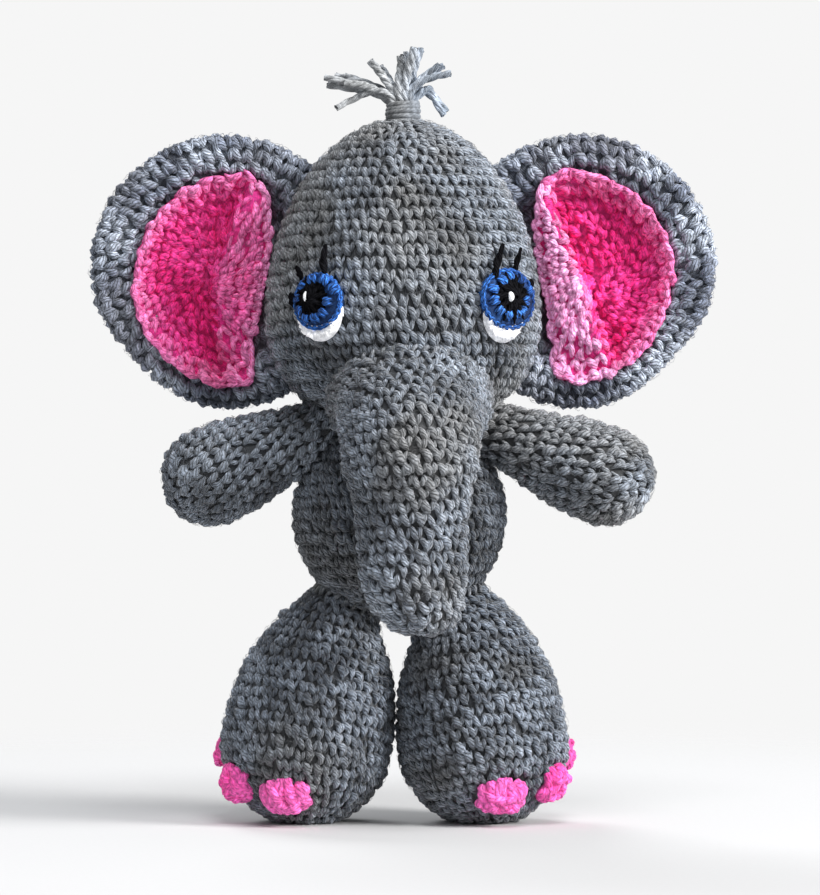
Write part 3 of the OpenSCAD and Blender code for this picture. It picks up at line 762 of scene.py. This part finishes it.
for name, side in SIDES:
    foot = foot_middle(side)
    hip = np.array(HIP[side]) * (side, 1, 1)
    rows = [(5, 32.9), (12, 32.3), (20, 31.0), (28, 29.0), (36, 25.8), (44, 21.9), (52, 17.6), (58, 13.8), (63, 10)]
    rows += [(66, 7), (68, 3.5)]
    thigh = np.array((side * (FOOT[0] + side * LEGS_X - LEG_LEAN[side]), 0, foot[2] + THIGH_UP))
    grid = placed(denser(turned(rounded_profile(FOOT_R, rows), columns=84)), foot, thigh - foot)
    grid[..., 0] -= side * THIGH_IN * smooth(72, 100, grid[..., 2])
    grid[..., 2] = np.maximum(grid[..., 2], SOLE_Z + 0.02 * (grid[..., 2] - SOLE_Z))
    skin = Skin(grid)
    skins["leg_" + name] = skin
    leg = Piece()
    backing(leg, skin, 0.6, cap_low=True, cap_high=True)
    crochet(leg, skin, 0.6, skin.length, 4.0, 4.5, loose=0.13)
    fuzz(leg, skin, 30, skin.length - 3)
    for block in leg.points:
        block[:, 2] = np.maximum(block[:, 2], FLOOR_CLEAR)
    toward = (foot - hip) / np.linalg.norm(foot - hip)
    start, end = hip - toward * 12, hip + toward * 10
    bend = ("torso", "leg_" + name, tuple(start), tuple(end))
    nodes = [f"leg_{name}_skin", f"leg_{name}_stuffing"]
    finish_piece(leg, f"leg_{name}_crochet", DARK_GREY, nodes, bend=bend)

# Each toenail's turn outwards from the front, fall below the foot's middle, half width and half height
NAILS = {"front": (15, 35, 10.2, 9.4), "middle": (65, 27, 9.4, 9.4), "side": (112, 8, 8.4, 9.0)}
NAIL_OUT = 6.0


def bobble(piece, centre, across, up, out, half_wide, half_tall):
    """Thick loops side by side, gathered above and below, with a few short ones over them."""
    many = 7
    k = np.linspace(-1, 1, many)[:, None] + rng.normal(0, 0.05, (many, 1))
    t = np.linspace(-1.25, 1.25, 11)[None]
    x = half_wide * (0.78 * k * np.cos(0.45 * t) + 0.10 * np.sin(3 * t + 5 * k))
    z = half_tall * 0.88 * np.sqrt(np.maximum(1 - 0.72 * k**2, 0.1)) * np.sin(t)
    y = NAIL_OUT * np.cos(t) * np.sqrt(np.maximum(1 - 0.55 * k**2, 0)) - 2.0
    radius = (half_wide * 0.26) * (0.55 + 0.45 * np.cos(t)) * rng.uniform(0.85, 1.12, (many, 1))
    for spread, tone in ((1.0, 1.0), (0.5, 0.92)):
        wave = 1.1 * np.sin(t * 3.1 + 2.4 * k * many) * (1 if spread == 1.0 else -1)
        x_at, y_at = (x + wave * 0.6)[..., None], (y + wave * 0.5)[..., None]
        at = centre + x_at * across + z[..., None] * up + y_at * out
        piece.strands(at, radius * 0.9, np.broadcast_to(out, at.shape), sides=9, end_shade=0.9, shade=tone)
    for _ in range(9):
        middle = rng.uniform(-0.55, 0.55, 2) * (half_wide, half_tall)
        heading = rng.uniform(-0.5, 0.5) + (0 if rng.random() < 0.5 else 0.9)
        run = np.linspace(-1, 1, 7)
        x = middle[0] + 2.6 * run * math.cos(heading)
        z = middle[1] + 2.6 * run * math.sin(heading)
        lift = NAIL_OUT * np.sqrt(np.maximum(1 - 0.6 * (x / half_wide) ** 2 - 0.6 * (z / half_tall) ** 2, 0))
        y = lift - 0.9 + 1.1 * (1 - run**2)
        at = centre + x[:, None] * across + z[:, None] * up + y[:, None] * out
        radii, outs = 1.5 * np.sqrt(1.05 - run**2), np.broadcast_to(out, at.shape)
        tone = rng.uniform(0.95, 1.15)
        piece.strands(at[None], radii[None], outs[None], sides=8, end_shade=0.9, shade=tone)


for name, side in SIDES:
    for nail, (turn, fall, half_wide, half_tall) in NAILS.items():
        t, f = math.radians(turn), math.radians(fall)
        outward = np.array((side * math.sin(t) * math.cos(f), -math.cos(t) * math.cos(f), -math.sin(f)))
        foot = foot_middle(side)
        piece = Piece()
        sideways = unit(np.cross(outward, (0, 0, 1)))
        upward = np.cross(sideways, outward)
        bobble(piece, foot + outward * FOOT_R, sideways, upward, outward, half_wide, half_tall)
        finish_piece(piece, f"toenail_{name}_{nail}_bobble", HOT_PINK, [f"toenail_{name}_{nail}"], body="leg_" + name)


# ---------------------------------------------------------------- ears
# An ear's own plane: out from its middle, up, and forwards from its mid-thickness
EAR_AT = (72.0, 8.5, 222.3)


def ear_outline(angle, radius):
    """The disc droops a little flat on its lower outer side."""
    return radius * (1 - 0.075 * np.exp(-(((angle + 0.75) / 0.5) ** 2)))


def ear_place(side, out, up, forward):
    """Points from places in the ear's own plane."""
    return np.stack([side * (EAR_AT[0] + out), EAR_AT[1] - forward, EAR_AT[2] + up], -1)


# The lining's working centre, its disc's radius and middle, its straight side, how far all of it is moved towards
# the head, and how far it lies over the grey disc
LINING_AT = (11.0, -4.0)
LINING_R, LINING_MIDDLE = 44.0, (-3.0, -3.0)
LINING_IN = -12.5
LINING_SHIFT = 3.0
LINING_OVER = 3.1
# The disc's front under the lining, from its middle to its rim: distance from the middle, forwards
DISC_FRONT = ((31, -6.0), (35, -3.0), (38, 0.2), (41, 3.0), (44, 4.3), (47, 4.7))


def lining_edge(angle, side):
    """Distance from the working centre to the edge: a disc cut straight beside the head, with scallops."""
    c, s = np.cos(angle), np.sin(angle)
    dx, dz = LINING_AT[0] - LINING_MIDDLE[0], LINING_AT[1] - LINING_MIDDLE[1]
    along = dx * c + dz * s
    disc = -along + np.sqrt(along**2 - dx * dx - dz * dz + LINING_R**2)
    inward = (LINING_AT[0] - LINING_IN - 3.0 * np.sin(2 * angle)) / np.maximum(-c, 0.05)
    edge = (disc**-7.0 + inward**-7.0) ** (-1 / 7.0)
    flat = 0.09 * np.exp(-(((angle + 0.62) / 0.45) ** 2))
    notch = 0.13 * np.exp(-((((angle % (2 * math.pi)) - 4.08) / 0.09) ** 2)) * (1.2 if side == RIGHT else 0.5)
    return edge * (1 - flat - notch) * (1 + 0.016 * np.sin(21 * angle + side) + 0.008 * np.sin(34 * angle))


def crease_out(up, side):
    """How far out the flap's edge lies at a height over the ear's middle."""
    return 7.0 - 0.0065 * (up + 13) ** 2 if side == RIGHT else 6.0 - 0.36 * (up + 13)


def lining_share(out, up, side):
    """How far a place lies between the lining's working centre (0) and its edge (1)."""
    angle = np.arctan2(up - LINING_AT[1], out - LINING_AT[0])
    return np.hypot(up - LINING_AT[1], out - LINING_AT[0]) / lining_edge(angle, side)


def lining_forward(out, up, share, side):
    """The lining is a bowl over the disc, with a flap standing over its side next to the head."""
    deep = -1.0 - 3.2 * (1 - share**2) + 5.6 * smooth(0.72, 1.0, share)
    away, front = zip(*DISC_FRONT)
    middle_out = out - LINING_SHIFT
    away_here = np.hypot(middle_out, up) / ear_outline(np.arctan2(up, middle_out), 1.0)
    deep = np.maximum(deep, np.interp(away_here, away, front) + LINING_OVER)
    edge = crease_out(up, side)
    wall = smooth(edge + 3.5, edge - 2.0, out)
    crest = 10.0 - 0.3 * np.maximum(edge - 4.0 - out, 0) - 3.0 * smooth(0.8, 1.0, share)
    deep = deep - 2.0 * smooth(12, 2, out - edge) * smooth(0.9, 0.6, share)
    ends = smooth(-46, -30, up) * smooth(42, 28, up)
    return deep + wall * ends * (crest - deep)


for name, side in SIDES:
    # Rows run from the middle of the back, over the rim and forwards, to under the lining
    profile = [(r, -8.5 + 4.5 * (r / 46) ** 2) for r in np.linspace(0.8, 46, 12)]
    rim = np.radians(np.arange(-65, 80, 15))
    profile += [(49.6 + 4.9 * math.cos(a), 0.2 + 4.6 * math.sin(a)) for a in rim]
    profile += DISC_FRONT[::-1]
    angle = np.arange(110) / 110 * 2 * math.pi
    r = np.array([row[0] for row in profile])[:, None]
    forward = np.array([row[1] for row in profile])[:, None] + 0 * angle
    r = ear_outline(np.where(angle > math.pi, angle - 2 * math.pi, angle), r)
    grid = denser(ear_place(side, r * np.cos(angle), r * np.sin(angle), forward), 3)
    # Seen from outside, rows go round the other way on the two sides
    skin = Skin(grid if side == LEFT else grid[:, ::-1])
    skins["ear_" + name] = skin

    def clear_of_lining(point, side=side):
        """Not inside the head, and not under the lining."""
        share = lining_share(side * point[..., 0] - EAR_AT[0] + LINING_SHIFT, point[..., 2] - EAR_AT[2], side)
        front = point[..., 1] < EAR_AT[1]
        return ~in_head(point * (1.09, 1.09, 1)) & ~(front & (share < 0.97))

    piece = Piece()
    backing(piece, skin, 0.9, shade=0.4, cap_low=True)
    crochet(piece, skin, 0.8, skin.length - 3, 5.6, 5.4, loose=0.12, keep=clear_of_lining, legs=RIM, rings=6)
    fuzz(piece, skin, 2, skin.length - 8, keep=clear_of_lining)
    bend = ("head", "ear_" + name, (side * 56, 8, 221.5), (side * 66, 8, 221.5))
    finish_piece(piece, f"ear_{name}_disc", EAR_GREY, [f"ear_{name}_back"], bend=bend)

    angle = np.arange(132) / 132 * 2 * math.pi
    share = np.linspace(0.05, 1.0, 30)[:, None]
    reach = lining_edge(angle, side) * share
    out = LINING_AT[0] + reach * np.cos(angle)
    up = LINING_AT[1] + reach * np.sin(angle)
    grid = ear_place(side, out, up, lining_forward(out, up, share + 0 * angle, side))
    grid[..., 0] -= side * LINING_SHIFT
    skin = Skin(grid if side == RIGHT else grid[:, ::-1])
    piece = Piece()
    backing(piece, Skin(skin.grid[:-1]), 0.1, shade=0.9, cap_low=True)

    def lining_pale(point, side=side):
        """Paler on the flap and towards the outer edge."""
        out = side * point[..., 0] - EAR_AT[0] + LINING_SHIFT
        up = point[..., 2] - EAR_AT[2]
        share = lining_share(out, up, side)
        flap = smooth(1.5, -3.0, out - crease_out(up, side))
        rim = smooth(0.72, 0.97, share)
        most = np.clip((1.0 if side == LEFT else 0.3) * flap + 0.42 * rim, 0, 1)
        return most * rng.normal(1, 0.15, out.shape)

    end = skin.length
    # Painted light: the lining's stitches are brightened above the yarn's own colour, against the shade inside the
    # bowl
    crochet(piece, skin, 1, end - 1.0, 4.5, 4.4, legs=PUFFY, loose=0.15, pale=lining_pale, shade=1.12)
    crochet(piece, skin, end - 2.6, end + 0.2, 5.0, 2.8, legs=CHAIN, loose=0.1, pale=lining_pale, shade=1.15)
    finish_piece(piece, f"ear_{name}_lining_bowl", PINK, [f"ear_{name}_lining"], bend=bend)


# ---------------------------------------------------------------- eyes
class Patch:
    """A flat working place on the face: right, up and out from a point on it."""

    def __init__(self, x, z, turn, lift):
        y = -math.sqrt(float(head_ring(z)) ** 2 - x * x)
        t = math.radians(turn)
        self.out = unit(np.array((math.sin(t), -math.cos(t), 0.06)))
        self.right = unit(np.cross((0, 0, 1.0), self.out))
        self.up = np.cross(self.out, self.right)
        self.at = np.array((x, y, z)) + self.out * lift

    def point(self, right, up, out):
        """Points from places in the patch, which sags with the head's roundness."""
        right, up, out = (np.asarray(v, float)[..., None] for v in (right, up, out))
        sag = right**2 / 150 + up**2 / 260
        return self.at + right * self.right + up * self.up + (out - sag) * self.out

    def disc(self, profile, at=(0, 0), squeeze=1.0, columns=48):
        """Rows from the middle outwards from (radius, height) pairs, as a skin."""
        angle = np.arange(columns) / columns * 2 * math.pi
        r, h = (np.array(v, float)[:, None] for v in zip(*profile))
        grid = self.point(at[0] + squeeze * r * np.cos(angle), at[1] + r * np.sin(angle), h + 0 * angle)
        skin = Skin(grid)
        if (skin.out * self.out).sum(-1).mean() < 0:
            skin = Skin(grid[:, ::-1])
        return skin


# How often the two plies of the ring's edge go round each other
EDGE_TWISTS, EDGE_STEPS = 13, 121
EYES = {
    # middle (x, z), turn, ring radius and squeeze, pupil's shift, radius and squeeze, how far down the white sits,
    # glint (right, up, long, thick)
    RIGHT: ((-32.2, 208.2), -33, 10.1, 1.0, (-2.1, 0.9), 8.3, 0.84, 5.2, (-1.0, 0.6, 2.3, 0.62)),
    LEFT: ((40.2, 209.2), 41, 10.9, 1.16, (0.2, 0.4), 8.9, 0.95, 6.6, (-3.0, 0.2, 1.7, 1.15)),
}
for name, side in SIDES:
    (x, z), turn, ring_r, squeeze, (shift, rise), pupil_r, slim, white_down, glint = EYES[side]
    patch = Patch(x, z, turn, 0.9)

    white = Piece()
    rows = [(0.5, 1.0), (5, 1.1), (8.2, 1.1), (9.4, 0.7), (10.0, -1.2)]
    skin = patch.disc(rows, at=(-side * 0.4 - 0.6, -white_down), squeeze=0.95)
    # Painted light: the white patch's backing and stitches are brightened above the yarn's own colour, against the
    # shade they lie in
    backing(white, skin, -0.5, shade=1.1)
    crochet(white, skin, 3.5, skin.length - 0.5, 4.6, 3.4, loose=0.08, legs=FLAT, shade=1.15)
    finish_piece(white, f"eye_{name}_white_patch", WHITE, [f"eye_{name}_white"], body="head")

    ring = Piece()
    rows = [(4.5, 3.3), (6.5, 3.4), (8.0, 3.3), (ring_r - 1, 3.2), (ring_r, 2.8), (ring_r + 0.2, -2.0)]
    skin = patch.disc(rows, squeeze=squeeze)
    backing(ring, skin, 0.3, shade=0.55)
    crochet(ring, skin, 1.2, 1.2 + ring_r * 0.42, 4.9, 4.8, legs=RADIAL, loose=0.06, rings=6, sides=7)
    u = np.linspace(0, 1, EDGE_STEPS)
    for start in (0, math.pi):
        point, along, out = skin.at(u, np.full(EDGE_STEPS, skin.length - 4.0))
        twist = (start + u * EDGE_TWISTS * 2 * math.pi)[:, None]
        inward = np.cross(out, along)
        path = point + out * (0.5 + 0.45 * np.sin(twist)) + inward * 0.75 * np.cos(twist)
        ring.strands(path[None], np.full((1, EDGE_STEPS), 0.62), out[None], sides=7, end_shade=1.0)
    finish_piece(ring, f"eye_{name}_blue_ring", BLUE, [f"eye_{name}_iris"], body="head")

    pupil = Piece()
    rows = [(0.3, 4.3), (2, 4.3), (4, 4.1), (pupil_r - 1.6, 3.9), (pupil_r - 0.6, 2.6)]
    skin = patch.disc(rows, at=(shift, rise), squeeze=slim)
    backing(pupil, skin, 0.1, shade=0.8, cap_low=True)
    spikes = 11
    angle = (np.arange(spikes) + 0.3) / spikes * 2 * math.pi
    place = np.linspace(0, 1, 6)
    reach = pupil_r * (0.08 + (0.98 + 0.16 * rng.random((spikes, 1))) * place)
    points = patch.point(
        shift + slim * reach * np.cos(angle)[:, None], rise + reach * np.sin(angle)[:, None],
        4.6 - 0.6 * place + 0 * reach,
    )
    thick = (1.6 - 1.3 * place**1.3) + 0 * reach
    pupil.strands(points, thick, np.broadcast_to(patch.out, points.shape), sides=8, end_shade=1.0)
    crochet(pupil, skin, 0.5, skin.length - 0.4, 3.0, 2.6, loose=0.1)
    finish_piece(pupil, f"eye_{name}_black_centre", BLACK, [f"eye_{name}_pupil"], body="head")

    right, up, long, thick = glint
    piece = Piece()
    place = np.linspace(-1, 1, 9)[None]
    points = patch.point(shift + right + 0.25 * place**2, rise + up + long * place, 6.3 - 1.2 * place**2)
    radius = thick * np.sqrt(np.maximum(1 - 0.8 * place**2, 0.02))
    piece.strands(points, radius, np.broadcast_to(patch.out, points.shape), sides=10, end_shade=1.0)
    finish_piece(piece, f"eye_{name}_glint_stitch", WHITE, [f"eye_{name}_glint"], body="head")


def face_strand(piece, points, thick, lift=2.9, twist=0.35):
    """Two plies of yarn twisted round each other along points (x, z) on the face."""
    points = np.asarray(points, float)
    t = np.linspace(0, len(points) - 1, 13)
    x = np.interp(t, np.arange(len(points)), points[:, 0])
    z = np.interp(t, np.arange(len(points)), points[:, 1])
    y = -np.sqrt(np.maximum(head_ring(z) ** 2 - x**2, 1))
    out = unit(np.stack([x, y, (z - HEAD_AT_Z) * (HEAD_R / HEAD_UP) ** 2], -1))
    line = np.stack([x, y, z], -1)
    share = t / t[-1]
    along = unit(np.gradient(line, axis=0))
    side = np.cross(along, out)
    size = thick * (0.35 + 0.65 * np.sin(math.pi * np.clip(share * 0.75 + 0.22, 0, 1)))
    for start in (0, math.pi):
        turn = (start + share * 7.0)[:, None]
        offset = (np.cos(turn) * side + np.sin(turn) * out) * (size * twist)[:, None]
        path = line + out * lift + offset
        piece.strands(path[None], (size * 0.7)[None], out[None], sides=8, end_shade=0.9)


# Each lash's points (x, z), from its root to its tip
LASHES = {
    RIGHT: (
        ((-29.2, 218.5), (-29.9, 224), (-28.8, 230)),
        ((-38.0, 217), (-40.0, 222)),
        ((-40.6, 206.5), (-42.4, 211.5)),
    ),
    LEFT: (
        ((34.2, 217), (35.4, 223.5), (37.6, 230.6)),
        ((41.9, 219.5), (42.9, 224), (44.6, 229.4)),
        ((47.4, 214), (48.6, 217)),
    ),
}
for name, side in SIDES:
    piece = Piece()
    for strand, thick in zip(LASHES[side], (1.7, 1.3, 1.8)):
        face_strand(piece, strand, thick)
    finish_piece(piece, f"eye_{name}_lash_strands", BLACK, [f"eye_{name}_lashes"], body="head")

# ---------------------------------------------------------------- hair
# The wrapping goes round the tuft's foot from a little below this height
CROWN_Z = 283.5
wrap = Piece()
WRAP_TURNS, WRAP_STEPS = 5.2, 130
turns = np.linspace(0, WRAP_TURNS, WRAP_STEPS)
wrap_r = 6.2 - 0.25 * np.abs(turns - WRAP_TURNS / 2)
rise = CROWN_Z - 2.0 + turns * 1.75 + 0.4 * np.sin(turns * 5)
spiral = np.stack([wrap_r * np.cos(turns * 2 * math.pi), wrap_r * np.sin(turns * 2 * math.pi), rise], -1)
out = unit(spiral * (1, 1, 0))
wrap.strands(spiral[None], np.full((1, WRAP_STEPS), 1.25), out[None], sides=10, end_shade=0.9, shade=0.55)
rows = [(4.8, CROWN_Z - 3), (5.0, CROWN_Z + 3), (4.6, CROWN_Z + 7.5), (1.0, CROWN_Z + 8)]
ring_skin = Skin(turned(rows, columns=32))
backing(wrap, ring_skin, 0.2, shade=0.35)
finish_piece(wrap, "hair_wrap_yarn", HAIR, ["hair_wrap"], body="head")

HAIR_TOP = CROWN_Z + 6.5
tuft = Piece()
# Each strand's tip, out to the right, back and up from the wrapping's top, and how much it droops on the way
TUFT = (
    (-31, -2, 12, 1.5), (-30, 1, 9, 2), (-27, -4, -1, 7), (-23, 3, 13, 2), (-28, 4, 13.5, 1), (-25, -5, 9, 3),
    (-29, 0, 10.5, 2.5), (-13.5, -3, 18.5, 1), (-12, 2, 17.5, 1), (-9.5, 3, 17, 1), (-2.3, -3, 21, 0),
    (1, 3, 22.5, 0), (4, -5, 24, 0), (3, 0, 23.5, 0), (7.7, 2, 24, 1), (14, -3, 17, 2), (16, 2, 17, 3),
    (13, 5, 15, 2), (17, -4, 13.5, 3), (18.5, -1, -3, 9), (17, 1, -2, 8), (-10, 7, 15, 2), (10, 7, 14, 2),
)
place = np.linspace(0, 1, 22)
for x, y, z, droop in TUFT:
    wiggle = rng.normal(0, 0.8, 3)
    right = x * (0.1 + 0.9 * place**1.25) + wiggle[0] * np.sin(place * 5)
    back = y * (0.15 + 0.85 * place) + wiggle[1] * np.sin(place * 6)
    up = z * place + droop * np.sin(place * math.pi) + wiggle[2] * 0.5 * np.sin(place * 7)
    bend = np.stack([right, back, up], -1) + (0, 0, HAIR_TOP - 1.5)
    along = unit(np.gradient(bend, axis=0))
    sideways = unit(np.cross(along, (0.1, 1.0, 0.1)))
    upright = np.cross(sideways, along)
    size = 1.7 * (1 - 0.12 * place) * rng.uniform(0.75, 1.15)
    for ply in range(3):
        turn = (ply * 2 * math.pi / 3 + place * 11)[:, None]
        path = bend + (np.cos(turn) * sideways + np.sin(turn) * upright) * (size * 0.5)[:, None]
        tone = rng.normal(1, 0.1)
        tuft.strands(path[None], (size * 0.62)[None], upright[None], sides=6, end_shade=0.85, shade=tone)
finish_piece(tuft, "hair_tuft", HAIR, ["hair_strands"], body="head")


# ---------------------------------------------------------------- seams
SEAM_STEPS = 160


def seam(name, skin, inside, count, slot_nodes, body_name, reach=2.8, thick=0.85):
    """Whip stitches where a skin goes into another one."""
    piece = Piece()
    s = np.linspace(0.5, skin.length - 0.5, SEAM_STEPS)
    starts, levels = [], []
    for u in (np.arange(count) + 0.5) / count:
        hidden = inside(skin.at(np.full(SEAM_STEPS, u), s)[0])
        for i in np.nonzero(hidden[1:] != hidden[:-1])[0]:
            starts.append(u)
            levels.append(s[i])
    u, level = np.array(starts), np.array(levels)
    place = np.linspace(-1, 1, 7)
    around = skin.round_length(level)
    at_u = u[:, None] + 1.1 * place / np.maximum(around, 10)[:, None]
    at_s = np.clip(level[:, None] + reach * place, 0.1, skin.length - 0.1)
    point, _, out = skin.at(at_u, at_s)
    rise = 1.3 - 1.0 * place**2
    radius = np.broadcast_to(thick * (0.5 + 0.5 * np.sqrt(1 - 0.9 * place**2)), at_u.shape)
    piece.strands(point + out * rise[:, None], radius, out, sides=6)
    finish_piece(piece, name, SEWING, slot_nodes, body=body_name)


seam("trunk_seam", trunk_skin, in_head, 44, ["trunk_stitching"], "head")
for name, side in SIDES:
    seam(f"shoulder_{name}_seam", skins["arm_" + name], in_body, 18, [f"shoulder_{name}_stitching"], "torso")
    seam(f"hip_{name}_seam", skins["leg_" + name], in_body, 24, [f"hip_{name}_stitching"], "torso")
    seam(f"ear_{name}_seam", skins["ear_" + name], in_head, 60, [f"ear_{name}_stitching"], "head")

gather = Piece()
neck_skin = Skin(turned([(12.5, 153), (11.5, 156), (11.2, 159.5), (11.5, 163), (12.5, 166)], columns=48))
backing(gather, neck_skin, 0.8, cap_low=True, cap_high=True)
crochet(gather, neck_skin, 0, neck_skin.length, 4.0, 4.2)
finish_piece(gather, "neck_gather", SEWING, ["neck_stitching"], body="neck")
